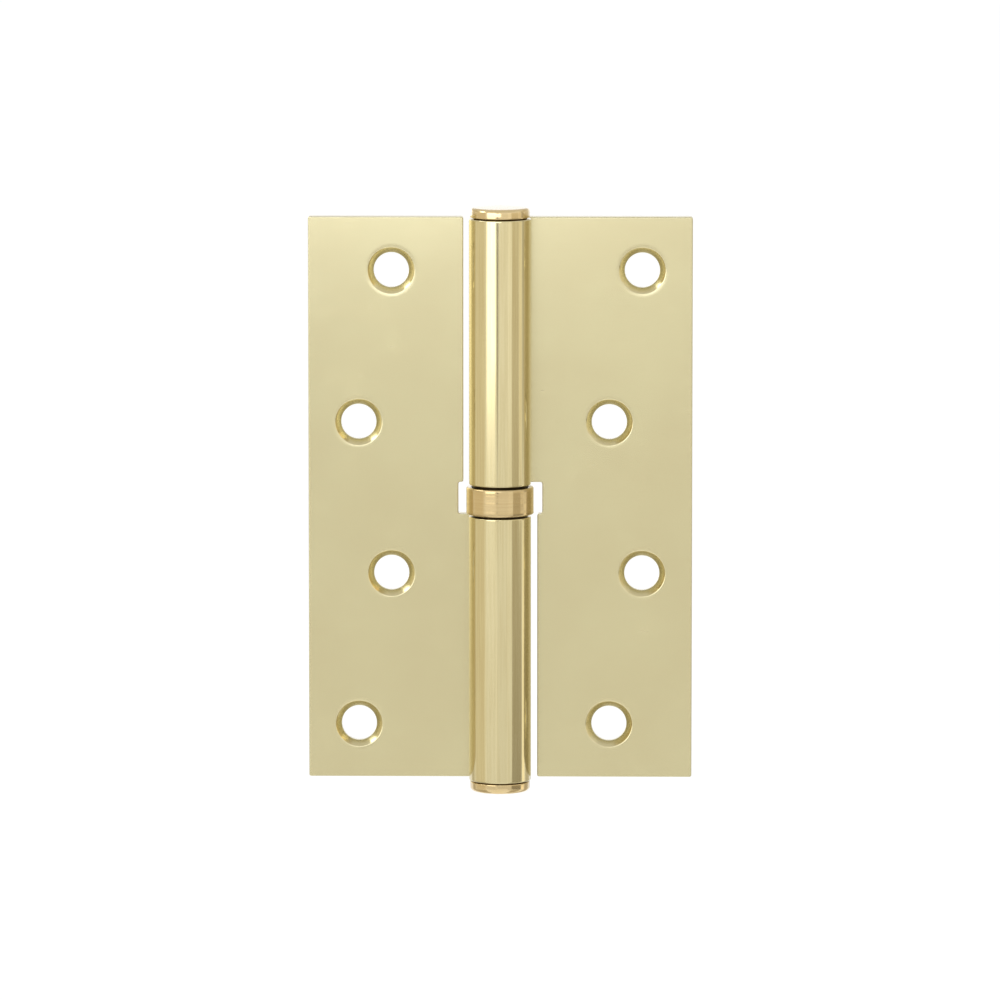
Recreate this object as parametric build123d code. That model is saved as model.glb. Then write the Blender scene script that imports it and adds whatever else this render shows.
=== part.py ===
from build123d import *
import os
from math import asin, degrees, floor, pi, radians, tan

# Lift-off door hinge. Two identical sheet leaves are rolled into a knuckle each. The frame leaf holds the
# pin in its lower knuckle, and the door leaf drops over the pin and rests on a small ball bearing.
# Origin on the pin axis halfway up the barrel, +Z up the pin, +X towards the door leaf, and -Y towards
# the countersunk faces that show when the hinge lies open flat. Sizes are millimetres.

# Leaves: one stamping, used twice
LEAF_HEIGHT = 100.0
LEAF_REACH = 34.0  # pin axis to the leaf's outer edge
SHEET = 2.5
KNUCKLE_BORE = 6.0  # inside diameter of the roll
SEAM_GAP = 0.2  # end of the roll to the leaf's face
KNUCKLE_SLOT = 1.05  # leaf edge to the other leaf's knuckle
COLLAR_SLOT = 1.45  # leaf edge to the bearing collar
EDGE_BREAK = 0.15  # chamfer on the punched edges of the sheet

# Screw holes: two staggered columns, evenly spaced up the leaf
HOLE_COUNT = 4
HOLE_PITCH = 27.0
HOLE_DIAMETER = 6.2
COUNTERSINK_WIDTH = 1.05  # radial width of the conical seat
COUNTERSINK_ANGLE = 90.0
OUTER_COLUMN_INSET = 8.9  # leaf's outer edge to the outer column
COLUMN_STAGGER = 5.8

# Pin and end caps
PIN_CLEARANCE = 0.06  # radial, pin to the door leaf's knuckle
PIN_END_GAP = 1.0  # pin to the shank of each end cap
PIN_CHAMFER = 0.5
PIN_NOSE = 1.2  # length of the lead-in at the top
PIN_NOSE_INSET = 0.7  # how far the lead-in narrows, radially
CAP_HEIGHT = 2.0
CAP_INSET = 0.2  # cap rim inside the knuckle's outside, radially
CAP_ROUND = 0.7
CAP_SEAM = 0.25  # height of the groove under the cap's rim
CAP_SEAM_DEPTH = 0.5
CAP_SHANK = 5.0
CAP_SHANK_CHAMFER = 0.5

# Thrust bearing between the knuckles
BALL_DIAMETER = 1.588  # a sixteenth of an inch
BALL_GAP = 1.0  # least space between neighbouring balls
BALL_PLAY = 0.03  # ball to groove
GROOVE_DEPTH = 0.2
RACE_THICKNESS = 2.2
RACE_LAND = 0.3  # flat of a race on each side of the balls
RACE_CLEARANCE = 0.1  # radial, race to pin and race to shell
RACE_SHOULDER = 0.35  # how far a race steps in under the shell's lip
CAGE_CLEARANCE = 0.1  # radial, cage to pin and cage to shell
CAGE_FACE_GAP = 0.25  # cage to each race
POCKET_CLEARANCE = 0.06  # radial, ball to cage
SHELL_WALL = 0.6
SHELL_LIP = 0.4  # thickness of the crimped lips
SHELL_STANDOFF = 0.4  # shell end to the knuckle beside it
SHELL_CHAMFER = 0.35
LIP_CLEARANCE = 0.05  # lip to the turning race

# Radii and heights that follow from the sizes above
bore_radius = KNUCKLE_BORE / 2
knuckle_radius = bore_radius + SHEET
leaf_end = LEAF_HEIGHT / 2
ball_radius = BALL_DIAMETER / 2
groove_radius = ball_radius + BALL_PLAY
race_face = groove_radius - GROOVE_DEPTH
bearing_end = race_face + RACE_THICKNESS
race_inner = bore_radius + RACE_CLEARANCE
race_outer = race_inner + BALL_DIAMETER + 2 * RACE_LAND
shoulder_radius = race_outer - RACE_SHOULDER
ball_circle = (race_inner + race_outer) / 2
ball_count = floor(2 * pi * ball_circle / (BALL_DIAMETER + BALL_GAP))
shell_inner = race_outer + RACE_CLEARANCE
shell_outer = shell_inner + SHELL_WALL
shell_end = bearing_end - SHELL_STANDOFF
lip_face = shell_end - SHELL_LIP
slot_edge = knuckle_radius + KNUCKLE_SLOT
notch_edge = shell_outer + COLLAR_SLOT
pin_end = leaf_end - CAP_SHANK - PIN_END_GAP


def turned(*corners):
    """Solid of revolution about the Z axis from (radius, height) corners."""
    profile = make_face(Polyline(*corners, close=True))
    return revolve(Plane.XZ * profile, Axis.Z)


def leaf_section():
    """Sheet seen from above: the flat runs into the back of the roll, which ends at the seam."""
    seam_angle = degrees(asin((bore_radius - SEAM_GAP) / knuckle_radius))
    outer = CenterArc((0, 0), knuckle_radius, 90, 270 + seam_angle)
    inner = CenterArc((0, 0), bore_radius, 90, 270 + seam_angle)
    seam = Line(outer @ 1, inner @ 1)
    flat = Polyline(inner @ 0, (LEAF_REACH, bore_radius), (LEAF_REACH, knuckle_radius), outer @ 0)
    return make_face([outer, seam, inner, flat])


def cut_back(edge, top, height):
    """Block that clears the leaf between the pin axis and an edge, down from a height."""
    corner = (Align.MAX, Align.CENTER, Align.MAX)
    return Pos(edge, 0, top) * Box(2 * LEAF_REACH, 4 * knuckle_radius, height, align=corner)


def screw_hole():
    """Cutter for one countersunk hole, its mouth on the local origin and its depth along -Z."""
    radius = HOLE_DIAMETER / 2
    mouth = radius + COUNTERSINK_WIDTH
    seat = COUNTERSINK_WIDTH / tan(radians(COUNTERSINK_ANGLE / 2))
    through = 2 * (SHEET + seat)
    return turned((0, 0), (mouth, 0), (radius, -seat), (radius, -through), (0, -through))


def screw_holes():
    """Cutters of the door leaf, top hole first, the columns taking turns."""
    outer_column = LEAF_REACH - OUTER_COLUMN_INSET
    top_hole = HOLE_PITCH * (HOLE_COUNT - 1) / 2
    cutters = []
    for i in range(HOLE_COUNT):
        across = outer_column - COLUMN_STAGGER * (i % 2)
        height = top_hole - HOLE_PITCH * i
        cutters.append(Pos(across, bore_radius, height) * Rot(X=90) * screw_hole())
    return cutters


def leaf():
    """Door leaf: knuckle on the upper half, cut back beside the collar and the other knuckle."""
    body = extrude(leaf_section(), leaf_end, both=True)
    body -= cut_back(slot_edge, -bearing_end, LEAF_HEIGHT)
    body -= cut_back(notch_edge, bearing_end, 2 * bearing_end)
    edges = body.edges()
    upright = edges.filter_by(Axis.Z).filter_by_position(Axis.X, knuckle_radius, 2 * LEAF_REACH)
    punched = upright + edges.filter_by(Axis.X) + edges.filter_by(GeomType.CIRCLE)
    return chamfer(punched, EDGE_BREAK) - screw_holes()


def hinge_pin():
    """Pin pressed into the lower knuckle, with a running fit and a lead-in above the bearing."""
    running = bore_radius - PIN_CLEARANCE
    return turned(
        (0, -pin_end),
        (bore_radius - PIN_CHAMFER, -pin_end),
        (bore_radius, PIN_CHAMFER - pin_end),
        (bore_radius, -bearing_end),
        (running, -bearing_end),
        (running, pin_end - PIN_NOSE),
        (running - PIN_NOSE_INSET, pin_end),
        (0, pin_end),
    )


def end_cap():
    """Top cap: a flat head on the knuckle's end, a seam groove and a shank pressed into the bore."""
    rim = knuckle_radius - CAP_INSET
    neck = rim - CAP_SEAM_DEPTH
    head_top = leaf_end + CAP_HEIGHT
    shank_end = leaf_end - CAP_SHANK
    body = turned(
        (0, head_top),
        (rim, head_top),
        (rim, leaf_end + CAP_SEAM),
        (neck, leaf_end + CAP_SEAM),
        (neck, leaf_end),
        (bore_radius, leaf_end),
        (bore_radius, shank_end + CAP_SHANK_CHAMFER),
        (bore_radius - CAP_SHANK_CHAMFER, shank_end),
        (0, shank_end),
    )
    return fillet(body.edges().group_by(Axis.Z)[-1], CAP_ROUND)


def bearing_shell():
    """Collar round the bearing, crimped over the shoulder of both races."""
    lip_radius = shoulder_radius + RACE_CLEARANCE
    body = turned(
        (lip_radius, -shell_end),
        (shell_outer, -shell_end),
        (shell_outer, shell_end),
        (lip_radius, shell_end),
        (lip_radius, lip_face),
        (shell_inner, lip_face),
        (shell_inner, -lip_face),
        (lip_radius, -lip_face),
    )
    rims = body.edges().filter_by(GeomType.CIRCLE).group_by(SortBy.RADIUS)[-1]
    return chamfer(rims, SHELL_CHAMFER)


def race(lip_gap):
    """Upper race: a grooved ring with a shoulder that stands a gap off the shell's lip."""
    shoulder = lip_face - lip_gap
    body = turned(
        (race_inner, race_face),
        (race_outer, race_face),
        (race_outer, shoulder),
        (shoulder_radius, shoulder),
        (shoulder_radius, bearing_end),
        (race_inner, bearing_end),
    )
    return body - Torus(ball_circle, groove_radius)


def ball_places():
    return PolarLocations(ball_circle, ball_count)


def ball_cage():
    """Flat ring between the races with a pocket for each ball."""
    inner = bore_radius + CAGE_CLEARANCE
    outer = shell_inner - CAGE_CLEARANCE
    thickness = 2 * (race_face - CAGE_FACE_GAP)
    body = Cylinder(outer, thickness) - Cylinder(inner, thickness)
    return body - ball_places() * Cylinder(ball_radius + POCKET_CLEARANCE, thickness)


def bearing_balls():
    return Compound(ball_places() * Sphere(ball_radius))


def turned_over(piece):
    """The same piece turned end for end about the Y axis."""
    return Rot(Y=180) * piece


pieces = {
    "door_leaf": leaf(),
    "frame_leaf": turned_over(leaf()),
    "hinge_pin": hinge_pin(),
    "top_cap": end_cap(),
    "bottom_cap": turned_over(end_cap()),
    "bearing_shell": bearing_shell(),
    "upper_race": race(LIP_CLEARANCE),
    "lower_race": turned_over(race(0)),
    "ball_cage": ball_cage(),
    "bearing_balls": bearing_balls(),
}

os.makedirs("parts", exist_ok=True)
for name, piece in pieces.items():
    export_step(piece, f"parts/{name}.step")
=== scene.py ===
import logging
import math
from dataclasses import dataclass
from enum import Enum
from typing import Mapping, Optional, Sequence, Union

import bmesh
import bpy
from mathutils import Matrix, Vector


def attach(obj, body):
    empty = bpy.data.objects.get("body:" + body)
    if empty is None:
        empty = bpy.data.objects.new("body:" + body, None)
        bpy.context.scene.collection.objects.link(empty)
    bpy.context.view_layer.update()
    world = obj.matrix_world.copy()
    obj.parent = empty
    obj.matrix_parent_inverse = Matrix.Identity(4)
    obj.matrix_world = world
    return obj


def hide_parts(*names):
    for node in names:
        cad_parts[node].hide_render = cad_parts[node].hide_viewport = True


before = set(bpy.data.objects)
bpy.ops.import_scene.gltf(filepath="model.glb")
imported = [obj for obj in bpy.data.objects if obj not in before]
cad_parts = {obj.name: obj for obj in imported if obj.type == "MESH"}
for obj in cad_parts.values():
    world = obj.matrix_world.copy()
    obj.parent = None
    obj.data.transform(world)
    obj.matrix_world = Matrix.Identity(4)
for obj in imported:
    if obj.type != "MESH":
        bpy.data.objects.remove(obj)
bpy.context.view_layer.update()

log = logging.getLogger("lift_off_hinge")

MM = 0.001
Colour = tuple[float, float, float]
Stretch = tuple[float, float, float]
Number = Union[int, float]
Row = list[bmesh.types.BMVert]

BLACK: Colour = (0.0, 0.0, 0.0)
WHITE: Colour = (1.0, 1.0, 1.0)
WARM_CARD: Colour = (1.0, 0.94, 0.8)
COOL_CLOTH: Colour = (0.96, 1.0, 1.12)


def srgb(red: int, green: int, blue: int) -> Colour:
    """Linear colour of an sRGB colour that is written in the range 0 to 255.

    Args:
        red: Red level.
        green: Green level.
        blue: Blue level.

    Returns:
        The three linear values, each 0 to 1.
    """
    def linear(level: int) -> float:
        """Linear value of one level."""
        share = level / 255
        return share / 12.92 if share <= 0.04045 else ((share + 0.055) / 1.055) ** 2.4

    return linear(red), linear(green), linear(blue)


def opaque(colour: Colour) -> tuple[float, float, float, float]:
    """Colour as a socket takes it."""
    return (*colour, 1.0)


class Hand(Enum):
    """Which leaf a piece belongs to, by the name of its body."""

    DOOR = "door"
    FRAME = "frame"


class Ray(Enum):
    """Kinds of ray that see the white surroundings as they are."""

    CAMERA = "Is Camera Ray"
    GLOSSY = "Is Glossy Ray"
    TRANSMISSION = "Is Transmission Ray"


class Signal:
    """A shader socket that can be used in Python expressions."""

    def __init__(self, sheet: "NodeSheet", socket: bpy.types.NodeSocket) -> None:
        """Wrap an output socket of a node on a sheet."""
        self.sheet = sheet
        self.socket = socket

    def __add__(self, other: "Value") -> "Signal":
        """Sum of two values."""
        return self.sheet.math("ADD", self, other)

    __radd__ = __add__

    def __sub__(self, other: "Value") -> "Signal":
        """This value less another."""
        return self.sheet.math("SUBTRACT", self, other)

    def __rsub__(self, other: "Value") -> "Signal":
        """Another value less this one."""
        return self.sheet.math("SUBTRACT", other, self)

    def __mul__(self, other: "Value") -> "Signal":
        """Product of two values."""
        return self.sheet.math("MULTIPLY", self, other)

    __rmul__ = __mul__


Value = Union[Signal, Number]
Tone = Union[Signal, Colour]


class NodeSheet:
    """A node tree that is written as Python expressions."""

    def __init__(self, tree: bpy.types.NodeTree) -> None:
        """Start with an empty tree."""
        self.tree = tree
        self.tree.nodes.clear()

    def node(
        self,
        kind: str,
        settings: Optional[Mapping[str, object]] = None,
        sockets: Optional[Mapping[str, object]] = None,
    ) -> bpy.types.Node:
        """Add one node.

        Args:
            kind: Node type, without the ShaderNode prefix.
            settings: Properties of the node, which are set first.
            sockets: Input name or identifier to a value or a Signal.

        Returns:
            The new node.
        """
        made = self.tree.nodes.new("ShaderNode" + kind)
        for name, value in (settings or {}).items():
            setattr(made, name, value)
        for name, value in (sockets or {}).items():
            socket = self._find(made.inputs, name)
            if isinstance(value, Signal):
                self.tree.links.new(value.socket, socket)
            else:
                socket.default_value = value
        return made

    def read(
        self,
        kind: str,
        output: str,
        settings: Optional[Mapping[str, object]] = None,
        sockets: Optional[Mapping[str, object]] = None,
    ) -> Signal:
        """Add one node and wrap one of its outputs.

        Args:
            kind: Node type, without the ShaderNode prefix.
            output: Name or identifier of the output.
            settings: As for node.
            sockets: As for node.

        Returns:
            The output as a Signal.
        """
        made = self.node(kind, settings, sockets)
        return Signal(self, self._find(made.outputs, output))

    def math(self, operation: str, first: Value, second: Value) -> Signal:
        """One Math node on two values.

        Args:
            operation: What the node does.
            first: Its first value.
            second: Its second value.

        Returns:
            The result.
        """
        return self.read(
            "Math", "Value", {"operation": operation}, {"Value": first, "Value_001": second}
        )

    def mix(self, share: Value, first: Tone, second: Tone) -> Signal:
        """Colour between two colours.

        Args:
            share: 0 gives the first colour and 1 the second.
            first: A colour or a Signal.
            second: A colour or a Signal.

        Returns:
            The mixed colour.
        """
        ends = [end if isinstance(end, Signal) else opaque(end) for end in (first, second)]
        return self.read(
            "Mix",
            "Result_Color",
            {"data_type": "RGBA"},
            {"Factor_Float": share, "A_Color": ends[0], "B_Color": ends[1]},
        )

    def ease(self, value: Value, low: float, high: float) -> Signal:
        """Smooth step of a value between two limits.

        Args:
            value: What is read.
            low: Value at which the step begins.
            high: Value at which it ends.

        Returns:
            0 below the step, 1 above it.
        """
        return self.read(
            "MapRange",
            "Result",
            {"interpolation_type": "SMOOTHSTEP"},
            {"Value": value, "From Min": low, "From Max": high},
        )

    def attribute(self, name: str) -> Signal:
        """Value that a piece's points carry under a name."""
        return self.read("Attribute", "Fac", {"attribute_name": name})

    def place(self, stretch: Stretch = (1.0, 1.0, 1.0)) -> Signal:
        """Place on the piece.

        Args:
            stretch: Factor on each axis; a small one draws a pattern out along that axis.

        Returns:
            The place in metres, times the stretch.
        """
        sockets = {"Vector": self.read("TexCoord", "Object"), "Vector_001": stretch}
        return self.read("VectorMath", "Vector", {"operation": "MULTIPLY"}, sockets)

    def noise(self, where: Signal, scale: float, detail: float = 2.0, rough: float = 0.5) -> Signal:
        """Noise value about 0.5.

        Args:
            where: Place that is read.
            scale: Features to the metre.
            detail: Number of finer octaves.
            rough: Weight of the finer octaves.

        Returns:
            The noise value, 0 to 1.
        """
        sockets = {"Vector": where, "Scale": scale, "Detail": detail, "Roughness": rough}
        return self.read("TexNoise", "Fac", None, sockets)

    def bump(self, height: Value, depth: float, under: Optional[Signal] = None) -> Signal:
        """Normal that a height over the surface gives.

        Args:
            height: Height, 0 to 1.
            depth: Real depth of that height in metres.
            under: Normal of a coarser or finer relief that this one lies on.

        Returns:
            The bent normal.
        """
        sockets = {"Height": height, "Distance": depth, "Strength": 1.0}
        if under is not None:
            sockets["Normal"] = under
        return self.read("Bump", "Normal", None, sockets)

    def seen_directly(self) -> Signal:
        """Whether a ray shows the surroundings, by itself or in metal or glass.

        Returns:
            1 for such a ray and otherwise 0.
        """
        path = self.node("LightPath")
        kinds = [Signal(self, path.outputs[ray.value]) for ray in Ray]
        seen = kinds[0]
        for kind in kinds[1:]:
            seen = self.math("MAXIMUM", seen, kind)
        return seen

    def finish(self, shader: Signal, output: str = "OutputMaterial") -> None:
        """Join a shader to the tree's output."""
        self.node(output, None, {"Surface": shader})

    @staticmethod
    def _find(sockets: Sequence[bpy.types.NodeSocket], name: str) -> bpy.types.NodeSocket:
        """Socket with an identifier, or else with a name.

        Args:
            sockets: Sockets of one side of a node.
            name: Identifier or name.

        Returns:
            The socket.
        """
        for socket in sockets:
            if socket.identifier == name:
                return socket
        for socket in sockets:
            if socket.name == name and socket.enabled:
                return socket
        raise KeyError(name)


def new_material(name: str) -> tuple[bpy.types.Material, NodeSheet]:
    """Empty node material.

    Args:
        name: Its name.

    Returns:
        The material and its sheet.
    """
    material = bpy.data.materials.new(name)
    material.use_nodes = True
    return material, NodeSheet(material.node_tree)


@dataclass(frozen=True)
class BrassPlate:
    """Brass plating under clear lacquer, satin on flat sheet and bright where it was polished.

    Scales are features to the metre, and depths are metres.
    """

    name: str
    satin: Colour
    satin_warm: Colour
    bright: Colour
    bright_warm: Colour
    # Lighter tone on rubbed edges, partly wear and partly a painted edge highlight.
    worn_highlight: Colour
    # Colour of painted shade: seams, gaps, countersinks and rims are darkened towards it.
    painted_shade: Colour
    satin_roughness: float = 0.24
    bright_roughness: float = 0.10
    lacquer: float = 0.8
    lacquer_roughness: float = 0.2
    lacquer_ior: float = 1.5
    cloud_scale: float = 55.0
    smudge_scale: float = 140.0
    rub_scale: float = 420.0
    grain_scale: float = 5200.0
    grain_stretch: Stretch = (0.06, 1.0, 1.0)
    grain_depth: float = 1.1e-6
    streak_scale: float = 3400.0
    line_scale: float = 900.0
    line_stretch: Stretch = (1.0, 1.0, 0.02)
    line_depth: float = 14e-6
    shear_scale: float = 2400.0
    shear_stretch: Stretch = (1.0, 0.06, 1.0)
    shear_depth: float = 6e-6
    wave_scale: float = 190.0
    wave_stretch: Stretch = (1.0, 1.0, 0.16)
    wave_depth: float = 10e-6

    def material(self) -> bpy.types.Material:
        """Plating material.

        Returns:
            The material, which reads the attributes of a piece's points that Piece.point describes.
        """
        material, sheet = new_material(self.name)
        polish = sheet.attribute("polish")
        edge = sheet.attribute("edge")
        painted_shade = sheet.attribute("painted_shade")
        cut = sheet.attribute("cut")
        satin = 1 - polish

        clouds = sheet.ease(sheet.noise(sheet.place(), self.cloud_scale, 3.0), 0.3, 0.7)
        grain = sheet.noise(sheet.place(self.grain_stretch), self.grain_scale, 2.0, 0.6)
        streaks = sheet.noise(sheet.place(self.line_stretch), self.streak_scale, 3.0)
        smudge = sheet.ease(sheet.noise(sheet.place(), self.smudge_scale, 4.0, 0.62), 0.5, 0.72)
        rubbed_highlight = edge * sheet.ease(sheet.noise(sheet.place(), self.rub_scale, 3.0), 0.32, 0.62)

        brushed = clouds * 0.5 + grain * 1.4 - 0.45
        drawn_tone = clouds * 0.3 + sheet.ease(streaks, 0.35, 0.65) * 0.7
        matt = sheet.mix(brushed, self.satin, self.satin_warm)
        shiny = sheet.mix(drawn_tone, self.bright, self.bright_warm)
        tone = sheet.mix(polish, matt, shiny)
        # Edges are lightened in patches, partly as wear and partly as a painted edge highlight.
        tone = sheet.mix(rubbed_highlight * 0.4, tone, self.worn_highlight)
        # Painted shade: seams, gaps, countersinks and the sheet's rims are drawn darker here and made
        # rougher.
        tone = sheet.mix(painted_shade, tone, self.painted_shade)

        rough = self.satin_roughness * satin + self.bright_roughness * polish
        rough = rough + (grain - 0.5) * 0.08 * satin
        rough = rough + (streaks - 0.5) * 0.05 * polish
        rough = rough + smudge * 0.02 - rubbed_highlight * 0.04 + painted_shade * 0.3 + cut * 0.08

        shear = sheet.noise(sheet.place(self.shear_stretch), self.shear_scale, 3.0, 0.6)
        lines = sheet.noise(sheet.place(self.line_stretch), self.line_scale, 2.0)
        waves = sheet.noise(sheet.place(self.wave_stretch), self.wave_scale, 1.0)
        sheared = sheet.bump(shear * cut, self.shear_depth)
        fine = sheet.bump(grain * satin, self.grain_depth, sheared)
        drawn = sheet.bump(lines * polish, self.line_depth, fine)
        shader = sheet.read(
            "BsdfPrincipled",
            "BSDF",
            None,
            {
                "Base Color": tone,
                "Metallic": 1.0,
                "Roughness": rough,
                "Normal": sheet.bump(waves * polish, self.wave_depth, drawn),
                "Coat Weight": self.lacquer,
                "Coat Roughness": self.lacquer_roughness,
                "Coat IOR": self.lacquer_ior,
            },
        )
        sheet.finish(shader)
        return material


@dataclass(frozen=True)
class GroundSteel:
    """Ground steel with fine turning lines, a little oil, and dark grease beyond a radius, which is
    also painted shade where the races show through the collar's gaps.

    Scales are features to the metre, and the radius, widths and depths are metres.
    """

    name: str
    colour: Colour = srgb(196, 196, 198)
    oiled: Colour = srgb(168, 163, 152)
    grease_and_shade: Colour = srgb(38, 30, 18)
    grease_radius: float = 1.0
    grease_edge: float = 0.0002
    smear_scale: float = 900.0
    smear_width: float = 0.0004
    oil_scale: float = 260.0
    roughness: float = 0.2
    line_scale: float = 5200.0
    line_stretch: Stretch = (0.02, 0.02, 1.0)
    line_depth: float = 1.6e-6

    def material(self) -> bpy.types.Material:
        """Steel with rings along the pin axis.

        Returns:
            The material.
        """
        material, sheet = new_material(self.name)
        lines = sheet.noise(sheet.place(self.line_stretch), self.line_scale, 2.0)
        oil = sheet.ease(sheet.noise(sheet.place(), self.oil_scale, 4.0, 0.6), 0.3, 0.8)
        outwards = sheet.place((1.0, 1.0, 0.0))
        radius = sheet.read("VectorMath", "Value", {"operation": "LENGTH"}, {"Vector": outwards})
        smear = sheet.noise(sheet.place(), self.smear_scale, 3.0) * self.smear_width
        # Dark grease beyond the radius, partly real grease and partly painted shade in the collar's
        # gaps.
        greased_and_shaded = sheet.ease(
            radius + smear, self.grease_radius, self.grease_radius + self.grease_edge
        )
        tone = sheet.mix(oil * 0.45, self.colour, self.oiled)
        tone = sheet.mix(greased_and_shaded, tone, self.grease_and_shade)
        rough = self.roughness + (lines - 0.5) * 0.12 - oil * 0.06 + greased_and_shaded * 0.2
        shader = sheet.read(
            "BsdfPrincipled",
            "BSDF",
            None,
            {
                "Base Color": tone,
                "Metallic": 1.0,
                "Roughness": rough,
                "Normal": sheet.bump(lines, self.line_depth),
            },
        )
        sheet.finish(shader)
        return material


@dataclass(frozen=True)
class MouldedNylon:
    """Natural nylon of the ball cage. Scales are features to the metre, and the depth is metres."""

    name: str = "cage_nylon"
    colour: Colour = srgb(226, 221, 202)
    shade: Colour = srgb(205, 197, 172)
    roughness: float = 0.48
    flow_scale: float = 320.0
    skin_scale: float = 7800.0
    skin_depth: float = 3e-6

    def material(self) -> bpy.types.Material:
        """Nylon with faint flow clouds and a fine moulded skin.

        Returns:
            The material.
        """
        material, sheet = new_material(self.name)
        flow = sheet.noise(sheet.place(), self.flow_scale, 3.0)
        skin = sheet.noise(sheet.place(), self.skin_scale, 2.0)
        shader = sheet.read(
            "BsdfPrincipled",
            "BSDF",
            None,
            {
                "Base Color": sheet.mix(sheet.ease(flow, 0.3, 0.75), self.colour, self.shade),
                "Roughness": self.roughness + (skin - 0.5) * 0.16,
                "Normal": sheet.bump(skin, self.skin_depth),
            },
        )
        sheet.finish(shader)
        return material


@dataclass(frozen=True)
class PaleSweep:
    """White floor that keeps a soft shadow."""

    name: str = "pale_sweep"
    colour: Colour = (0.84, 0.84, 0.84)
    lift: float = 0.43

    def material(self) -> bpy.types.Material:
        """Matt white with a little light of its own for the camera and for metal.

        Returns:
            The material.
        """
        material, sheet = new_material(self.name)
        glow_sockets = {"Color": opaque(WHITE), "Strength": self.lift}
        matt = sheet.read("BsdfDiffuse", "BSDF", None, {"Color": opaque(self.colour)})
        glow = sheet.read("Emission", "Emission", None, glow_sockets)
        lit = sheet.read("AddShader", "Shader", None, {"Shader": matt, "Shader_001": glow})
        both = {"Fac": sheet.seen_directly(), "Shader": matt, "Shader_001": lit}
        sheet.finish(sheet.read("MixShader", "Shader", None, both))
        return material


@dataclass(frozen=True)
class GlowingCloth:
    """Front of a studio panel, as bright as the attribute "level" says, fading to white by "fade"."""

    name: str
    tint: Colour
    most: float = 4.0

    def material(self) -> bpy.types.Material:
        """Cloth with a light of its own.

        Returns:
            The material, where a level of 1 is white.
        """
        material, sheet = new_material(self.name)
        level = sheet.attribute("level")
        fade = sheet.attribute("fade")
        brightest = tuple(self.most * part for part in self.tint)
        own = sheet.mix(level * (1 / self.most), BLACK, brightest)
        tone = sheet.mix(fade, own, WHITE)
        sheet.finish(sheet.read("Emission", "Emission", None, {"Color": tone, "Strength": 1.0}))
        return material


def rounded(
    centre: tuple[float, float], start: float, end: float, radius: float, steps: int
) -> list[tuple[float, float]]:
    """Points of an arc about a centre.

    Args:
        centre: Centre of the arc.
        start: First angle in degrees.
        end: Last angle in degrees.
        radius: Arc radius.
        steps: Number of chords.

    Returns:
        The points as (across, along) pairs.
    """
    points = []
    for step in range(steps + 1):
        angle = math.radians(start + (end - start) * step / steps)
        points.append((centre[0] + radius * math.cos(angle), centre[1] + radius * math.sin(angle)))
    return points


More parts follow.
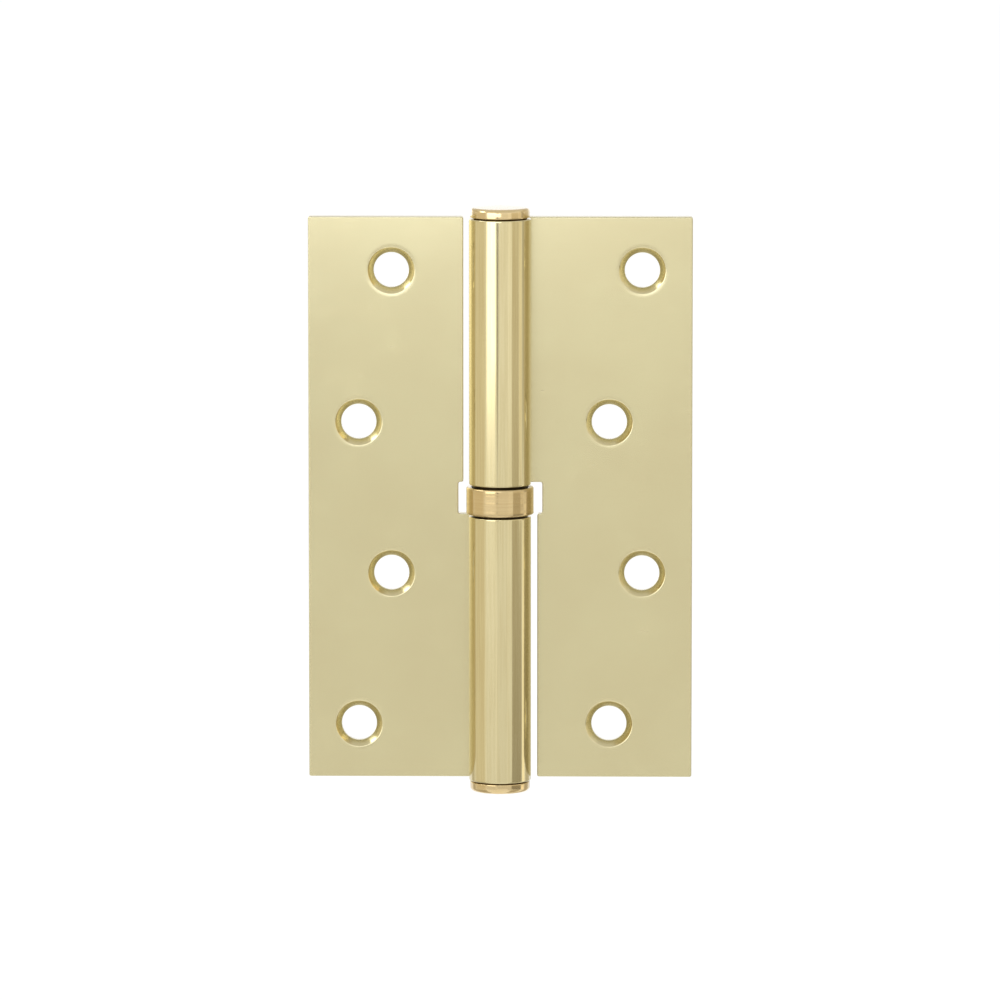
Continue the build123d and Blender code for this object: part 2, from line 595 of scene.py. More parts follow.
class Piece:
    """A mesh in the making, whose points say how they are finished."""

    def __init__(self, name: str) -> None:
        """Start an empty mesh.

        Args:
            name: Name of the object to come.
        """
        self.name = name
        self.mesh = bmesh.new()
        self.polish = self.mesh.verts.layers.float.new("polish")
        self.edge = self.mesh.verts.layers.float.new("edge")
        # Layer of painted shade: how far each point is drawn darker.
        self.painted_shade = self.mesh.verts.layers.float.new("painted_shade")
        self.cut = self.mesh.verts.layers.float.new("cut")

    def point(
        self,
        place: Sequence[float],
        polish: float,
        edge: float = 0.0,
        painted_shade: float = 0.0,
        cut: float = 0.0,
    ) -> bmesh.types.BMVert:
        """Add a point.

        Args:
            place: Place in millimetres.
            polish: 0 for satin, 1 for bright.
            edge: 1 on an edge that hands rub, which is lightened there, partly as wear and partly as a
                painted highlight.
            painted_shade: Painted shade, 1 in seams and gaps where shade falls, and less on
                countersinks and the sheet's rims.
            cut: 1 where the sheet tore off in the punch.

        Returns:
            The new vertex.
        """
        vert = self.mesh.verts.new(Vector(place) * MM)
        vert[self.polish] = polish
        vert[self.edge] = edge
        vert[self.painted_shade] = painted_shade
        vert[self.cut] = cut
        return vert

    def strip(self, first: Row, second: Row, closed: bool = True) -> None:
        """Quads between two rows of points.

        Args:
            first: One row of vertices.
            second: The next row, as long as the first.
            closed: Whether the rows run round.
        """
        count = len(first)
        for i in range(count if closed else count - 1):
            j = (i + 1) % count
            self.mesh.faces.new((first[i], first[j], second[j], second[i]))

    def fill(self, loops: Sequence[Row], facing: Sequence[float]) -> None:
        """Flat face inside a loop, with further loops as holes.

        Args:
            loops: Rows of vertices, each a closed loop whose edges exist.
            facing: Direction that the face looks.
        """
        edges = []
        for loop in loops:
            for i, vert in enumerate(loop):
                pair = (vert, loop[(i + 1) % len(loop)])
                edges.append(self.mesh.edges.get(pair) or self.mesh.edges.new(pair))
        bmesh.ops.triangle_fill(self.mesh, use_beauty=True, edges=edges, normal=Vector(facing))

    def ring(self, spot: Sequence[float], segments: int) -> Row:
        """Row of points round the pin axis.

        Args:
            spot: Radius, height, polish, edge and painted shade; a radius of 0 gives a single point.
            segments: Number of chords round.

        Returns:
            The row.
        """
        radius, height, *finish = spot
        if radius == 0:
            return [self.point((0.0, 0.0, height), *finish)]
        row = []
        for i in range(segments):
            angle = 2 * math.pi * i / segments
            place = (radius * math.cos(angle), radius * math.sin(angle), height)
            row.append(self.point(place, *finish))
        return row

    def lathe(self, profile: Sequence[Sequence[float]], segments: int, closed: bool = False) -> None:
        """Turn a profile about the pin axis.

        Args:
            profile: Spots as for ring.
            segments: Number of chords round.
            closed: Whether the profile runs back to its start.
        """
        rows = [self.ring(spot, segments) for spot in profile]
        for first, second in zip(rows, rows[1:] + (rows[:1] if closed else [])):
            self._join(first, second)

    def _join(self, first: Row, second: Row) -> None:
        """Faces between two turned rows.

        Args:
            first: One row, or a single point on the axis.
            second: The next row, or a single point on the axis.
        """
        if len(first) == len(second):
            self.strip(first, second)
            return
        tip, ring = (first[0], second) if len(first) == 1 else (second[0], first)
        for i, vert in enumerate(ring):
            self.mesh.faces.new((tip, vert, ring[(i + 1) % len(ring)]))

    def turn_over(self) -> None:
        """Turn the piece end for end about the Y axis."""
        half_turn = Matrix.Rotation(math.pi, 4, "Y")
        bmesh.ops.transform(self.mesh, matrix=half_turn, verts=self.mesh.verts)

    def make(self, body: str, node: str, material: bpy.types.Material) -> bpy.types.Object:
        """Finish the mesh as a piece that stands for a CAD node.

        Args:
            body: Body that it rides on.
            node: CAD node that it replaces.
            material: Its finish.

        Returns:
            The new object.
        """
        bmesh.ops.recalc_face_normals(self.mesh, faces=self.mesh.faces)
        for face in self.mesh.faces:
            face.smooth = True
        data = bpy.data.meshes.new(self.name)
        self.mesh.to_mesh(data)
        self.mesh.free()
        data.materials.append(material)
        piece = bpy.data.objects.new(self.name, data)
        bpy.context.scene.collection.objects.link(piece)
        even = piece.modifiers.new("even_normals", "WEIGHTED_NORMAL")
        even.keep_sharp = True
        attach(piece, body)
        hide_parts(node)
        log.info("%s: %d faces, stands for %s", self.name, len(data.polygons), node)
        return piece


@dataclass
class Leaf:
    """Leaf stamped from sheet, countersunk, and rolled into a knuckle. Sizes are millimetres."""

    hand: Hand
    reach: float = 34.0
    half_height: float = 50.0
    sheet: float = 2.5
    bore: float = 3.0
    seam_gap: float = 0.2
    bearing_half: float = 2.824
    slot_edge: float = 6.55
    notch_edge: float = 7.438
    edge_round: float = 0.15
    shear_share: float = 0.4
    # Painted shade along the rounded rims of the sheet.
    rim_shade: float = 0.22
    # Lightening of the rounded rims, partly wear and partly a painted highlight.
    rim_wear_highlight: float = 0.5
    flat_border: float = 0.7
    corner_round: float = 0.36
    hole_count: int = 4
    hole_radius: float = 3.1
    countersink: float = 1.05
    hole_pitch: float = 27.0
    outer_column: float = 25.1
    stagger: float = 5.8
    roll_steps: int = 120
    hole_steps: int = 96
    round_steps: int = 4
    blend_width: float = 1.5

    @property
    def roll_angle(self) -> float:
        """Angle of the roll from the flat to the seam, in radians."""
        return 1.5 * math.pi + math.asin((self.bore - self.seam_gap) / (self.bore + self.sheet))

    @property
    def roll_scale(self) -> float:
        """Length of flat sheet to a radian of roll."""
        return self.bore + self.sheet / 2

    def bend(self, along: float, height: float, depth: float) -> tuple[float, float, float]:
        """Place of a point of the flat blank once it is rolled.

        Args:
            along: Distance from where the roll begins, towards the outer edge.
            height: Height up the leaf.
            depth: Depth under the countersunk face.

        Returns:
            The place in millimetres.
        """
        if along >= 0:
            return along, self.bore + depth, height
        angle = -along / self.roll_scale
        radius = self.bore + depth
        return -radius * math.sin(angle), radius * math.cos(angle), height

    def outline(self) -> list[tuple[float, float, float, float]]:
        """Blank's outline as points with the direction in which each moves inwards.

        Returns:
            (along, height, inward along, inward height), counter-clockwise from the seam.
        """
        seam = -self.roll_angle * self.roll_scale
        low = self.bearing_half
        points = [(seam, low, 1.0, 1.0)]
        columns = self._columns(seam)
        points += [(along, low, 0.0, 1.0) for along in columns]
        points += self._corner(self.notch_edge, low, 90, 0, 1)
        points += self._corner(self.notch_edge, -low, 0, -90, 1)
        points += self._corner(self.slot_edge, -low, 90, 180, -1)
        points += self._corner(self.slot_edge, -self.half_height, 180, 270, -1)
        points += self._corner(self.reach, -self.half_height, 270, 360, -1)
        points += self._corner(self.reach, self.half_height, 0, 90, -1)
        points += [(along, self.half_height, 0.0, -1.0) for along in reversed(columns)]
        points.append((seam, self.half_height, 1.0, -1.0))
        return points

    def _columns(self, seam: float) -> list[float]:
        """Places along the blank of the roll's upright lines.

        Args:
            seam: Place of the seam along the blank.

        Returns:
            The places, from beside the seam to the end of the blend.
        """
        start = seam + 4 * self.edge_round
        roll = [start * (1 - i / self.roll_steps) for i in range(self.roll_steps + 1)]
        return roll + [self.blend_width / 3, self.blend_width * 2 / 3, self.blend_width]

    def _corner(
        self, along: float, height: float, start: float, end: float, inward: float
    ) -> list[tuple[float, float, float, float]]:
        """Rounded corner of the blank.

        Args:
            along: Place of the sharp corner along the blank.
            height: Its height.
            start: Direction from the arc's centre to its first point, in degrees.
            end: Direction to its last point.
            inward: -1 where the sheet lies on the centre's side, and 1 where it lies beyond the arc.

        Returns:
            Points as for outline.
        """
        middle = math.radians((start + end) / 2)
        side = math.sqrt(2) * self.corner_round
        centre = (along - side * math.cos(middle), height - side * math.sin(middle))
        points = []
        for across, up in rounded((0.0, 0.0), start, end, 1.0, self.round_steps):
            spot = (centre[0] + self.corner_round * across, centre[1] + self.corner_round * up)
            points.append((*spot, inward * across, inward * up))
        return points

    def hole_places(self) -> list[tuple[float, float]]:
        """Hole centres of the door leaf.

        Returns:
            (along, height) of each hole, top hole first, the columns taking turns.
        """
        top = self.hole_pitch * (self.hole_count - 1) / 2
        places = []
        for i in range(self.hole_count):
            places.append((self.outer_column - self.stagger * (i % 2), top - self.hole_pitch * i))
        return places

    def hole_profile(self) -> list[tuple[float, float, float, float, float]]:
        """Section of a countersunk hole from the face to the back.

        Returns:
            (radius, depth, polish, edge, painted shade) of each row.
        """
        mouth = self.hole_radius + self.countersink
        hole = self.hole_radius
        seat = self.countersink
        # Painted shade darkens the countersink's cone and the top of the bore.
        return [
            (mouth + self.flat_border, 0.0, 0.0, 0.0, 0.0),
            (mouth + 0.1, 0.0, 0.0, 0.0, 0.0),
            (mouth + 0.03, 0.012, 0.4, 0.5, 0.0),
            (mouth - 0.05, 0.06, 0.7, 0.6, 0.05),
            (mouth - 0.14, 0.15, 0.7, 0.1, 0.15),
            (hole + 0.12, seat - 0.12, 0.7, 0.0, 0.4),
            (hole + 0.03, seat - 0.01, 0.7, 0.3, 0.4),
            (hole, seat + 0.1, 0.6, 0.1, 0.35),
            (hole, seat + 0.25, 0.6, 0.0, 0.3),
            (hole, self.sheet - 0.25, 0.6, 0.0, 0.0),
            (hole + 0.03, self.sheet - 0.06, 0.5, 0.6, 0.0),
            (hole + 0.14, self.sheet, 0.0, 0.0, 0.0),
            (hole + self.flat_border, self.sheet, 0.0, 0.0, 0.0),
        ]

    def build(self, finish: BrassPlate) -> bpy.types.Object:
        """Build and dress the leaf.

        Args:
            finish: Its plating.

        Returns:
            The leaf's object.
        """
        name = self.hand.value
        piece = Piece(f"{name}_leaf_plated")
        outline = self.outline()
        rows = self._edge_rows(piece, outline)
        holes = [self._hole(piece, place) for place in self.hole_places()]
        self._faces(piece, outline, rows[0], [hole[0] for hole in holes], -1.0)
        self._faces(piece, outline, rows[-1], [hole[1] for hole in holes], 1.0)
        if self.hand is Hand.FRAME:
            piece.turn_over()
        return piece.make(name, f"{name}_leaf", finish.material())

    def _edge_rows(self, piece: Piece, outline: Sequence) -> list[Row]:
        """Rows of points round the sheet's edge.

        Args:
            piece: Mesh that they are added to.
            outline: The blank's outline.

        Returns:
            The rows from the countersunk face to the back.
        """
        radius = self.edge_round
        # The edge rounding rows carry painted shade, a darker line along every rim of the sheet.
        shade = self.rim_shade
        rounds = [(2 * radius, 0.0, 0.0, 0.0, 0.0), (radius, 0.0, 0.0, shade, 0.0)]
        for step in range(1, self.round_steps + 1):
            angle = 0.5 * math.pi * step / self.round_steps
            inset = radius * (1 - math.sin(angle))
            rounds.append((inset, radius * (1 - math.cos(angle)), self.rim_wear_highlight, shade, 0.0))
        sheared = self.sheet * self.shear_share
        wall = [
            (0.0, 2.5 * radius, 0.1, 0.0, 0.1),
            (0.0, sheared - radius, 0.0, 0.0, 0.2),
            (0.0, sheared + radius, 0.0, 0.0, 1.0),
            (0.0, self.sheet - 2.5 * radius, 0.1, 0.0, 0.8),
        ]
        back = [(inset, self.sheet - depth, *finish) for inset, depth, *finish in reversed(rounds)]
        rows = []
        for inset, depth, *finish in [*rounds, *wall, *back]:
            row = []
            for along, height, inward, up in outline:
                place = self.bend(along + inset * inward, height + inset * up, depth)
                row.append(piece.point(place, self._polish(along, depth), *finish))
            rows.append(row)
        for first, second in zip(rows, rows[1:]):
            piece.strip(first, second)
        return rows

    def _polish(self, along: float, depth: float) -> float:
        """Polish of a point of the blank: bright outside the roll, satin on the flat."""
        share = min(1.0, max(0.0, 1 - along / self.blend_width))
        return share * (0.35 + 0.65 * depth / self.sheet)

    def _hole(self, piece: Piece, place: tuple[float, float]) -> tuple[Row, Row]:
        """One countersunk hole.

        Args:
            piece: Mesh that it is added to.
            place: Its centre on the blank.

        Returns:
            Its rim on the face and its rim on the back.
        """
        rows = []
        for radius, depth, *finish in self.hole_profile():
            row = []
            for i in range(self.hole_steps):
                angle = 2 * math.pi * i / self.hole_steps
                along = place[0] + radius * math.cos(angle)
                height = place[1] + radius * math.sin(angle)
                row.append(piece.point(self.bend(along, height, depth), *finish))
            rows.append(row)
        for first, second in zip(rows, rows[1:]):
            piece.strip(first, second)
        return rows[0], rows[-1]

    def _faces(
        self, piece: Piece, outline: Sequence, rim: Row, holes: Sequence[Row], facing: float
    ) -> None:
        """Cover one side of the sheet: upright strips over the roll and a flat with its holes.

        Args:
            piece: Mesh that it is added to.
            outline: The blank's outline.
            rim: Row of the sheet's edge that borders this side.
            holes: Rims of the holes on this side.
            facing: -1 for the countersunk face and 1 for the back.
        """
        rolled = [i for i, point in enumerate(outline) if point[0] <= self.blend_width]
        low = [i for i in rolled if outline[i][1] < self.half_height / 2]
        high = [i for i in rolled if outline[i][1] > self.half_height / 2]
        bottom = [rim[i] for i in low]
        top = [rim[i] for i in reversed(high)]
        piece.strip(bottom, top, closed=False)
        flat = rim[low[-1]:high[0] + 1]
        piece.fill([flat, *holes], (0.0, facing, 0.0))


@dataclass
class EndCap:
    """Flat plug in one end of the barrel, with a seam groove under its rim. Sizes are millimetres."""

    hand: Hand
    seat: float = 50.0
    height: float = 2.0
    rim: float = 5.3
    round_over: float = 0.7
    crown: float = 0.06
    seam: float = 0.25
    seam_depth: float = 0.5
    shank: float = 3.0
    shank_length: float = 5.0
    shank_chamfer: float = 0.5
    round_steps: int = 8
    segments: int = 160

    def profile(self) -> list[tuple[float, float, float, float, float]]:
        """Section of the cap.

        Returns:
            Spots as for Piece.ring, from the middle of the top to the end of the shank.
        """
        top = self.seat + self.height
        flat = self.rim - self.round_over
        neck = self.rim - self.seam_depth
        lip = self.seat + self.seam
        tip = self.seat - self.shank_length
        spots = []
        for share in (0.0, 0.3, 0.6, 0.85):
            spots.append((flat * share, top - self.crown * share ** 2, 1.0, 0.0, 0.0))
        centre = (flat, top - self.crown - self.round_over)
        shoulder = rounded(centre, 90, 0, self.round_over, self.round_steps)
        spots += [(across, along, 1.0, 0.4, 0.0) for across, along in shoulder]
        # Down the rim into the seam groove, which is drawn darker with painted shade.
        spots += [
            (self.rim, lip + 0.2, 1.0, 0.0, 0.0),
            (self.rim, lip + 0.08, 1.0, 0.3, 0.0),
            (self.rim - 0.02, lip + 0.02, 1.0, 0.2, 0.1),
            (self.rim - 0.08, lip, 0.6, 0.0, 0.4),
            (neck, lip, 0.4, 0.0, 0.6),
            (neck, self.seat, 0.4, 0.0, 0.6),
            (self.shank, self.seat, 0.4, 0.0, 0.0),
            (self.shank, self.seat - 0.2, 0.4, 0.0, 0.0),
            (self.shank, tip + self.shank_chamfer, 0.4, 0.0, 0.0),
            (self.shank - self.shank_chamfer, tip, 0.4, 0.0, 0.0),
            (0.0, tip, 0.4, 0.0, 0.0),
        ]
        return spots

    def build(self, finish: BrassPlate) -> bpy.types.Object:
        """Build and dress the cap.

        Args:
            finish: Its plating.

        Returns:
            The cap's object.
        """
        name = "top_cap" if self.hand is Hand.DOOR else "bottom_cap"
        piece = Piece(f"{name}_turned")
        piece.lathe(self.profile(), self.segments)
        if self.hand is Hand.FRAME:
            piece.turn_over()
        return piece.make(self.hand.value, name, finish.material())


@dataclass
class BearingCollar:
    """Shell round the thrust bearing, crimped in at both ends. Sizes are millimetres."""

    radius: float = 5.986
    inside: float = 5.388
    lip: float = 5.038
    half_height: float = 2.424
    lip_thickness: float = 0.4
    round_over: float = 0.3
    round_steps: int = 6
    segments: int = 192

    def build(self, finish: BrassPlate) -> bpy.types.Object:
        """Build and dress the collar.

        Args:
            finish: Its plating.

        Returns:
            The collar's object.
        """
        half = self.half_height
        inner = half - self.lip_thickness
        # The crimped lips, in the gaps against the knuckles, are drawn darker with painted shade, and
        # the rounded edge a little, which dims its highlight.
        upper = [
            (self.lip, inner, 0.5, 0.0, 1.0),
            (self.lip, half - 0.06, 0.6, 0.0, 0.9),
            (self.lip + 0.06, half, 0.8, 0.0, 0.6),
            (self.lip + 0.25, half, 1.0, 0.0, 0.2),
        ]
        centre = (self.radius - self.round_over, half - self.round_over)
        arc = rounded(centre, 90, 0, self.round_over, self.round_steps)
        upper += [(across, along, 0.5, 0.3, 0.1) for across, along in arc]
        upper.append((self.radius, half - 2 * self.round_over, 1.0, 0.0, 0.0))
        lower = [(across, -along, *rest) for across, along, *rest in reversed(upper)]
        inside = (self.inside, inner, 0.5, 0.0, 1.0)
        profile = [inside, *upper, *lower, (self.inside, -inner, 0.5, 0.0, 1.0)]
        piece = Piece("bearing_collar_turned")
        piece.lathe(profile, self.segments, closed=True)
        return piece.make("frame", "bearing_shell", finish.material())


@dataclass
class HingePin:
    """Pin that is pressed into the lower knuckle. Sizes are millimetres."""

    end: float = 44.0
    seat: float = 3.0
    running: float = 2.94
    bearing_half: float = 2.824
    nose: float = 1.2
    nose_inset: float = 0.7
    chamfer: float = 0.5
    segments: int = 128

    def build(self, finish: GroundSteel) -> bpy.types.Object:
        """Build and dress the pin.

        Args:
            finish: Its steel.

        Returns:
            The pin's object.
        """
        tip = self.running - self.nose_inset
        places = [
            (0.0, -self.end),
            (self.seat - self.chamfer, -self.end),
            (self.seat, self.chamfer - self.end),
            (self.seat, 1.0 - self.end),
            (self.seat, -self.bearing_half - 0.2),
            (self.seat, -self.bearing_half),
            (self.running, -self.bearing_half),
            (self.running, 0.2 - self.bearing_half),
            (self.running, self.end - self.nose - 0.3),
            (self.running - 0.02, self.end - self.nose - 0.05),
            (self.running - 0.08, self.end - self.nose + 0.1),
            (tip + 0.12, self.end - 0.2),
            (tip - 0.08, self.end - 0.03),
            (tip - 0.3, self.end),
            (0.0, self.end),
        ]
        piece = Piece("hinge_pin_ground")
        piece.lathe([(radius, height, 1.0) for radius, height in places], self.segments)
        return piece.make("frame", "hinge_pin", finish.material())


@dataclass
class ThrustBearing:
    """Races, cage and balls inside the collar, which keep their CAD form."""

    race_nodes: tuple[str, ...] = ("lower_race", "upper_race")
    ball_node: str = "bearing_balls"
    cage_node: str = "ball_cage"

    def dress(self, race: GroundSteel, ball: GroundSteel, nylon: MouldedNylon) -> None:
        """Give the bearing's pieces their finish.

        Args:
            race: Finish of the races.
            ball: Finish of the balls.
            nylon: Finish of the cage.
        """
        greased_and_shaded = race.material()
        for node in self.race_nodes:
            self._coat(node, greased_and_shaded)
        self._coat(self.ball_node, ball.material())
        self._coat(self.cage_node, nylon.material())

    @staticmethod
    def _coat(node: str, material: bpy.types.Material) -> None:
        """Put one material on a CAD node.

        Args:
            node: The node's name.
            material: Its finish.
        """
        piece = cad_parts[node]
        piece.data.materials.clear()
        piece.data.materials.append(material)
        log.info("%s keeps its CAD form", node)


def faded_steps(start: float, end: float, fade: float, most: float) -> list[tuple[float, float]]:
    """Places along one side of a cloth.

    Args:
        start: First place.
        end: Last place.
        fade: Width at each end over which the cloth fades to white.
        most: Longest step.

    Returns:
        Each place with the share of the cloth's own light there.
    """
    first, last = start + fade, end - fade
    count = max(1, math.ceil((last - first) / most))
    inner = [(first + (last - first) * i / count, 1.0) for i in range(count + 1)]
    return [(start, 0.0), *inner, (end, 0.0)]


def grid_faces(wide: int, tall: int) -> list[tuple[int, int, int, int]]:
    """Quads of a grid of points.

    Args:
        wide: Number of columns.
        tall: Points in a column, which follow each other in the list of points.

    Returns:
        The quads as indices of points.
    """
    corners = [i * tall + j for i in range(wide - 1) for j in range(tall - 1)]
    return [(first, first + 1, first + tall + 1, first + tall) for first in corners]


def stage_cloth(
    name: str,
    tint: Colour,
    form: tuple[list, list],
    levels: Sequence[float],
    fades: Sequence[float],
) -> bpy.types.Object:
    """Studio cloth that shows in metal and isn't seen by the camera.

    Args:
        name: Name of the object and of its material.
        tint: Colour of its light.
        form: Places of its points and its faces.
        levels: Brightness at each point, where 1 is white.
        fades: How far each point fades to the white of the room.

    Returns:
        The new object.
    """
    places, faces = form
    data = bpy.data.meshes.new(name)
    data.from_pydata(places, [], faces)
    data.attributes.new("level", "FLOAT", "POINT").data.foreach_set("value", levels)
    data.attributes.new("fade", "FLOAT", "POINT").data.foreach_set("value", fades)
    data.materials.append(GlowingCloth(name, tint).material())
    cloth = bpy.data.objects.new(name, data)
    cloth.visible_camera = False
    cloth.visible_shadow = False
    cloth.visible_diffuse = False
    bpy.context.scene.collection.objects.link(cloth)
    return cloth


@dataclass(frozen=True)
class Panel:
    """Upright studio panel on an arc round the hinge, which fades to white at its edges.

    Angles are degrees to the right of the front, and distances are metres. A level of 1 is white.
    The brightness changes from the foot level at the lower edge to the level at height 0.
    """

    name: str
    start: float
    end: float
    low: float
    high: float
    level: float
    foot_level: float
    tint: Colour = WHITE
    distance: float = 1.0
    side_fade: float = 2.0
    end_fade: float = 0.03
    chord: float = 3.0
    rise: float = 0.05

    def build(self) -> bpy.types.Object:
        """Build and light the panel.

        Returns:
            The panel's object, which shows in metal and isn't seen by the camera.
        """
        columns = faded_steps(self.start, self.end, self.side_fade, self.chord)
        rows = faded_steps(self.low, self.high, self.end_fade, self.rise)
        places, levels, fades = [], [], []
        for along, side_share in columns:
            angle = math.radians(along)
            across = self.distance * math.sin(angle)
            back = -self.distance * math.cos(angle)
            for height, end_share in rows:
                places.append((across, back, height))
                climbed = min(1.0, (height - self.low) / -self.low) if self.low < 0 else 1.0
                levels.append(self.foot_level + (self.level - self.foot_level) * climbed)
                fades.append(1 - side_share * end_share)
        form = (places, grid_faces(len(columns), len(rows)))
        return stage_cloth(self.name, self.tint, form, levels, fades)


@dataclass(frozen=True)
class FloorCard:
    """Card in the shape of a ring's sector, just over the floor. Sizes are as for a panel."""

    name: str
    start: float
    end: float
    level: float = 0.6
    tint: Colour = WARM_CARD
    inside: float = 0.08
    outside: float = 0.95
    height: float = -0.295
    side_fade: float = 7.0
    end_fade: float = 0.05
    chord: float = 5.0

    def build(self) -> bpy.types.Object:
        """Build and light the card.

        Returns:
            The card's object, which shows in metal and isn't seen by the camera.
        """
        columns = faded_steps(self.start, self.end, self.side_fade, self.chord)
        rows = faded_steps(self.inside, self.outside, self.end_fade, self.outside)
        places, fades = [], []
        for along, side_share in columns:
            angle = math.radians(along)
            for radius, end_share in rows:
                places.append((radius * math.sin(angle), -radius * math.cos(angle), self.height))
                fades.append(1 - side_share * end_share)
        form = (places, grid_faces(len(columns), len(rows)))
        return stage_cloth(self.name, self.tint, form, [self.level] * len(places), fades)


@dataclass(frozen=True)
class OverheadCard:
    """Level card over the hinge, which fades to white at its edges. Distances are metres."""

    name: str = "overhead_card"
    height: float = 0.8
    half_size: float = 0.8
    fade: float = 0.15
    level: float = 0.85
    tint: Colour = WHITE

    def build(self) -> bpy.types.Object:
        """Build and light the card.

        Returns:
            The card's object, which shows in metal and isn't seen by the camera.
        """
        steps = faded_steps(-self.half_size, self.half_size, self.fade, 2 * self.half_size)
        places = [(across, along, self.height) for across, _ in steps for along, _ in steps]
        fades = [1 - first * second for _, first in steps for _, second in steps]
        form = (places, grid_faces(len(steps), len(steps)))
        return stage_cloth(self.name, self.tint, form, [self.level] * len(places), fades)


@dataclass(frozen=True)
class SoftLamp:
    """Soft rectangular lamp that faces the hinge. Distances are metres, and a level of 1 is white."""

    name: str
    place: tuple[float, float, float]
    size: tuple[float, float]
    level: float
    in_metal: bool

    def build(self) -> bpy.types.Object:
        """Hang and light the lamp.

        Returns:
            The lamp's object, which the camera doesn't see.
        """
        data = bpy.data.lights.new(self.name, "AREA")
        data.shape = "RECTANGLE"
        data.size, data.size_y = self.size
        data.energy = self.level * math.pi * self.size[0] * self.size[1]
        lamp = bpy.data.objects.new(self.name, data)
        lamp.location = self.place
        lamp.rotation_euler = (-Vector(self.place)).to_track_quat("-Z", "Y").to_euler()
        lamp.visible_camera = False
        lamp.visible_glossy = self.in_metal
        bpy.context.scene.collection.objects.link(lamp)
        return lamp


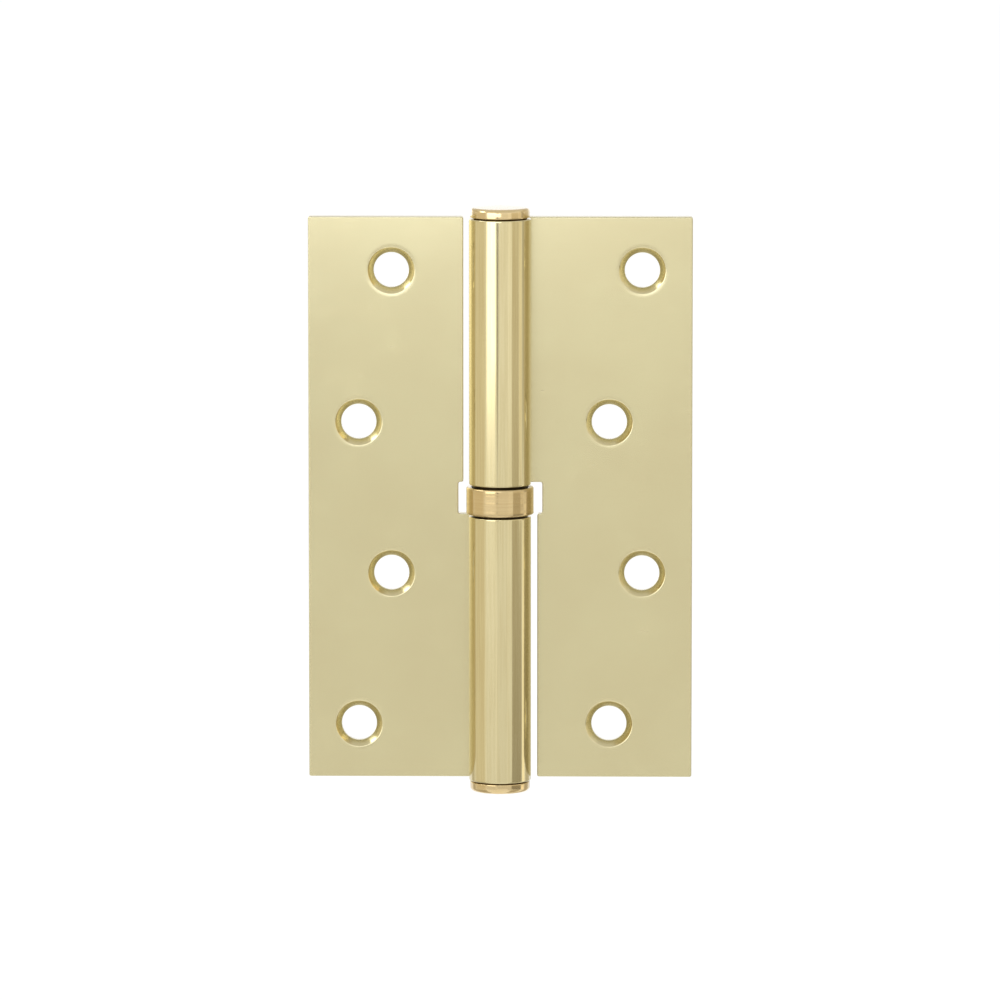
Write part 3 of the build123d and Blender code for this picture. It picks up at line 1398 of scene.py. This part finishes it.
@dataclass
class Studio:
    """Floor, light and camera. Distances are metres."""

    floor_height: float = -0.3
    floor_size: float = 14.0
    azimuth: float = 1.0
    elevation: float = 7.3
    distance: float = 1.5
    frame_width: float = 0.1769
    sensor: float = 36.0
    near_clip: float = 0.01
    white_level: float = 1.0
    room_level: float = 0.7

    def key_side(self) -> list[Panel]:
        """Panels of the left and the front.

        Returns:
            The panels, not built yet.
        """
        return [
            Panel("key_panel", -50, -15, -0.1, 0.6, 2.7, 2.7, side_fade=3, end_fade=0.014),
            Panel("key_skirt", -56, -9, -0.4, 0, 1.2, 0.65, distance=1.05, side_fade=9, end_fade=0.02),
            Panel("key_stand", -12.5, -3.5, -0.12, 0.6, 0.3, 0.3, distance=0.98, side_fade=3),
            Panel("left_flag", -109, -52, -0.4, 0.5, 0.88, 0.78, WARM_CARD, side_fade=9),
            Panel("front_shade", -16, 33, -0.4, 0.5, 1.08, 0.7, distance=1.1, side_fade=5),
            Panel("front_panel", -52, 7, 0.03, 0.14, 2.8, 2.8, COOL_CLOTH, 0.35, 5, 0.006),
        ]

    def right_side(self) -> list[Panel]:
        """Panels of the right.

        Returns:
            The panels, not built yet.
        """
        return [
            Panel("near_strip", 29, 46, -0.4, 0.5, 1.2, 0.6, side_fade=3),
            Panel("right_flag", 43, 91, -0.4, 0.5, 0.9, 0.05, WARM_CARD, 1.02, side_fade=4),
            Panel("right_strip", 91, 106, -0.4, 0.3, 0.92, 1.7, WARM_CARD),
            Panel("upper_strip", 75, 91, -0.13, 0.5, 1.0, 1.0, WARM_CARD, 0.98, side_fade=4),
            Panel("upper_card", 89, 107, -0.13, 0.5, 0.6, 0.6, WARM_CARD, 0.97, side_fade=4),
        ]

    def rear_side(self) -> list[Panel]:
        """Panels behind the hinge.

        Returns:
            The panels, not built yet.
        """
        return [
            Panel("rear_panel", 196, 226, -0.12, 0.6, 2.2, 2.2, side_fade=4, end_fade=0.05),
            Panel("rear_shade", 148, 196, -0.4, 0.5, 1.15, 0.65, WHITE, 1.1, 6, 0.1),
            Panel("rear_left_flag", 232, 262, -0.4, 0.5, 0.8, 0.5, WARM_CARD, side_fade=4),
            Panel("rear_right_flag", 108, 140, -0.4, 0.5, 0.8, 0.5, WARM_CARD, side_fade=4),
            Panel("rear_top_card", 100, 260, 0.28, 1.0, 0.75, 0.75, WARM_CARD, 0.95, end_fade=0.06),
        ]

    def cards(self) -> list[Union[FloorCard, OverheadCard]]:
        """Cards on the floor and over the hinge.

        Returns:
            The cards, not built yet.
        """
        return [
            FloorCard("right_floor_card", 38, 86),
            FloorCard("left_floor_card", -112, -50),
            FloorCard("rear_right_floor_card", 106, 142),
            FloorCard("rear_left_floor_card", 230, 264),
            OverheadCard(),
        ]

    def lamps(self) -> list[SoftLamp]:
        """Lamps over the hinge and to its left.

        Returns:
            The lamps, not built yet.
        """
        return [
            SoftLamp("top_lamp", (0.1, -0.3, 1.1), (0.9, 0.6), 1.2, in_metal=False),
            SoftLamp("side_lamp", (-0.62, -0.1, 0.5), (0.26, 0.26), 4.0, in_metal=True),
        ]

    def build(self) -> None:
        """Set up everything that isn't part of the hinge."""
        bpy.context.scene.view_settings.view_transform = "Standard"
        self._floor()
        self._world()
        panels = [*self.key_side(), *self.right_side(), *self.rear_side()]
        for thing in (*panels, *self.cards(), *self.lamps()):
            thing.build()
        self._camera()

    def _floor(self) -> None:
        """Pale floor under the hinge."""
        half = self.floor_size / 2
        data = bpy.data.meshes.new("floor")
        corners = [(-half, -half), (half, -half), (half, half), (-half, half)]
        data.from_pydata([(x, y, self.floor_height) for x, y in corners], [], [(0, 1, 2, 3)])
        data.materials.append(PaleSweep().material())
        floor = bpy.data.objects.new("floor", data)
        bpy.context.scene.collection.objects.link(floor)

    def _world(self) -> None:
        """White surroundings for the camera and for metal, softer light on the rest."""
        world = bpy.data.worlds.new("studio")
        world.use_nodes = True
        bpy.context.scene.world = world
        sheet = NodeSheet(world.node_tree)
        room_sockets = {"Color": opaque(WHITE), "Strength": self.room_level}
        seen_sockets = {"Color": opaque(WHITE), "Strength": self.white_level}
        room = sheet.read("Background", "Background", None, room_sockets)
        seen = sheet.read("Background", "Background", None, seen_sockets)
        both = {"Fac": sheet.seen_directly(), "Shader": room, "Shader_001": seen}
        sheet.finish(sheet.read("MixShader", "Shader", None, both), "OutputWorld")

    def _camera(self) -> None:
        """Camera at the photograph's angle."""
        data = bpy.data.cameras.new("camera")
        data.sensor_width = self.sensor
        data.lens = self.sensor * self.distance / self.frame_width
        camera = bpy.data.objects.new("camera", data)
        turn = math.radians(self.azimuth)
        tilt = math.radians(self.elevation)
        level = math.cos(tilt)
        back = Vector((math.sin(turn) * level, -math.cos(turn) * level, math.sin(tilt)))
        camera.location = back * self.distance
        camera.rotation_euler = (-back).to_track_quat("-Z", "Y").to_euler()
        data.clip_start = self.near_clip
        bpy.context.scene.collection.objects.link(camera)
        bpy.context.scene.camera = camera


LEAF_PLATE = BrassPlate(
    "satin_brass_plate",
    satin=srgb(209, 199, 154),
    satin_warm=srgb(203, 191, 146),
    bright=srgb(221, 207, 158),
    bright_warm=srgb(213, 197, 146),
    # Lighter tone of rubbed edges, partly wear and partly painted highlight.
    worn_highlight=srgb(228, 219, 184),
    # Colour of the painted shade on the leaf's rims and countersinks.
    painted_shade=srgb(150, 150, 114),
)
BARREL_PLATE = BrassPlate(
    "bright_brass_plate",
    satin=srgb(200, 176, 124),
    satin_warm=srgb(195, 170, 118),
    bright=srgb(217, 192, 139),
    bright_warm=srgb(210, 184, 130),
    # Lighter tone of rubbed edges, partly wear and partly painted highlight.
    worn_highlight=srgb(233, 217, 174),
    # Colour of the painted shade in the barrel's seams and gaps.
    painted_shade=srgb(84, 60, 24),
    line_stretch=(0.03, 0.03, 1.0),
)
PIN_STEEL = GroundSteel("pin_steel")
# Dark grease on the races' outer rims, partly real grease and partly painted shade where they show
# through the collar's gaps.
RACE_STEEL = GroundSteel("race_steel", grease_radius=0.0047)
NYLON = MouldedNylon()


def main() -> None:
    """Build the hinge's looks round its CAD frame."""
    logging.basicConfig(level=logging.INFO, format="%(name)s: %(message)s")
    for hand in Hand:
        Leaf(hand).build(LEAF_PLATE)
        EndCap(hand).build(BARREL_PLATE)
    BearingCollar().build(BARREL_PLATE)
    HingePin().build(PIN_STEEL)
    ThrustBearing().dress(RACE_STEEL, PIN_STEEL, NYLON)
    Studio().build()


if __name__ == "__main__":
    main()
